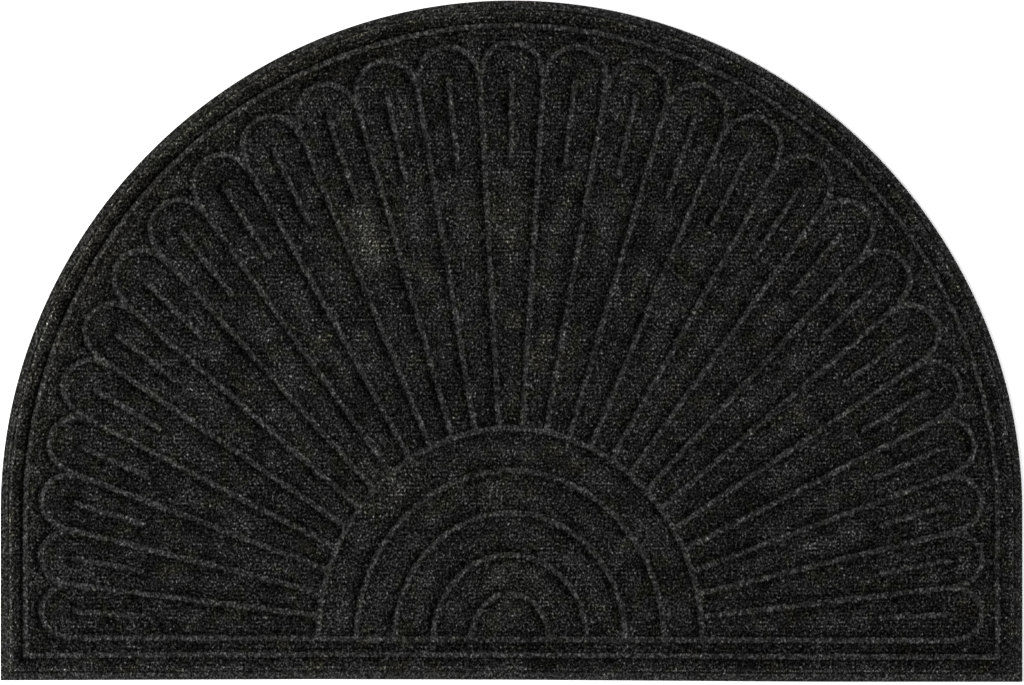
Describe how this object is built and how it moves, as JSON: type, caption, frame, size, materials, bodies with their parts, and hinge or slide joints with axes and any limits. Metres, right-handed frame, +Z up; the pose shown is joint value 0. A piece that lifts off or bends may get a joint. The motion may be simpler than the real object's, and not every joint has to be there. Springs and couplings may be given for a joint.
{
  "type": "half-round floor mat",
  "caption": "Half-round entrance mat of dark needle-punched felt, hot-pressed in one piece with a thin sealed rim, a frame line and a fan of round-ended flutes over half rings.",
  "frame": {"origin": "middle of the bounding box, on the underside that lies on the floor", "axes": "+X along the straight front edge, +Y from the front edge to the round back, +Z up out of the pattern"},
  "size_m": [0.9144, 0.6096, 0.008],
  "materials": {
    "felt": "matt needle-punched felt, black flecked with grey"
  },
  "bodies": {
    "root": {"mat": "felt"}
  },
  "joints": []
}
